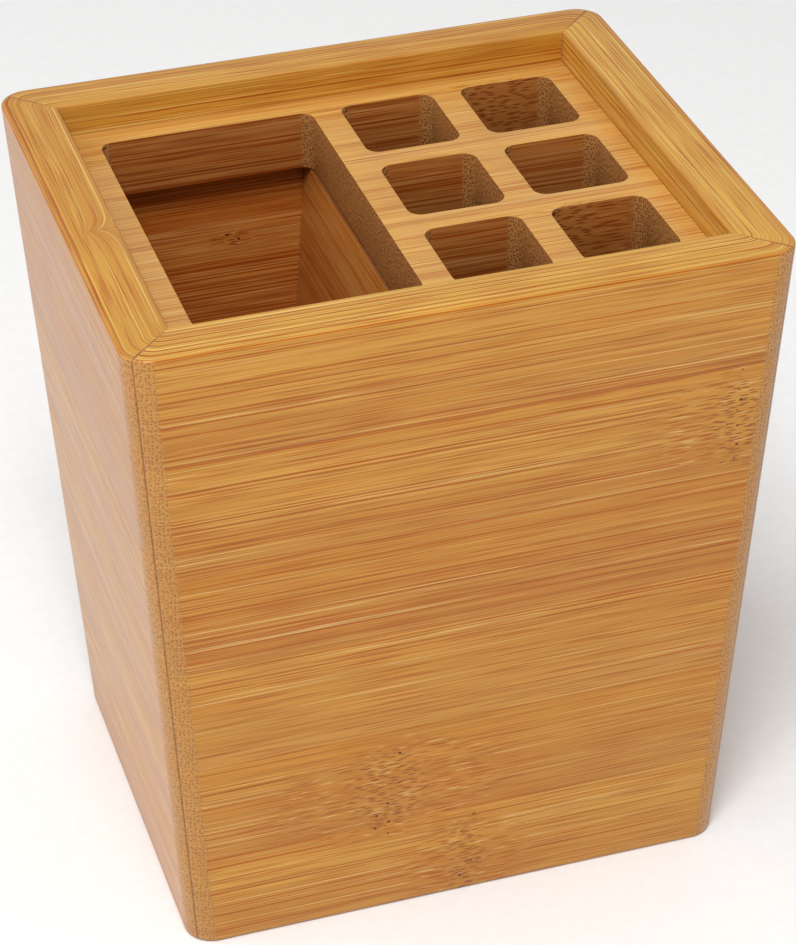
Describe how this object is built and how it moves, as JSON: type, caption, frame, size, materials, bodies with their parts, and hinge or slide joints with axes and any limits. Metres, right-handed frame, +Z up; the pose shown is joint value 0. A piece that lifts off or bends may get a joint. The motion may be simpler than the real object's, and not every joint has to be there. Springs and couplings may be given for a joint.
{
  "type": "desk organizer",
  "caption": "Tapered bamboo desk organizer: mitred walls, a base, and an inset plate with a large opening and small pen slots.",
  "frame": {"origin": "middle of the footprint's bounding box, on the surface it stands on", "axes": "+Z up; the front wall faces -Y; the large compartment is on the -X side and the pen slots are on the +X side"},
  "size_m": [0.1, 0.0874, 0.112],
  "materials": {
    "wall_bamboo": "semi-gloss clear lacquer over caramel bamboo",
    "plate_bamboo": "satin clear lacquer over light bamboo strips",
    "inner_bamboo": "satin clear lacquer over caramel bamboo"
  },
  "bodies": {
    "root": {"front_wall": "wall_bamboo", "back_wall": "wall_bamboo", "left_wall": "wall_bamboo", "right_wall": "wall_bamboo", "base_panel": "inner_bamboo", "compartment_plate": "plate_bamboo", "divider_panel": "inner_bamboo"}
  },
  "joints": []
}
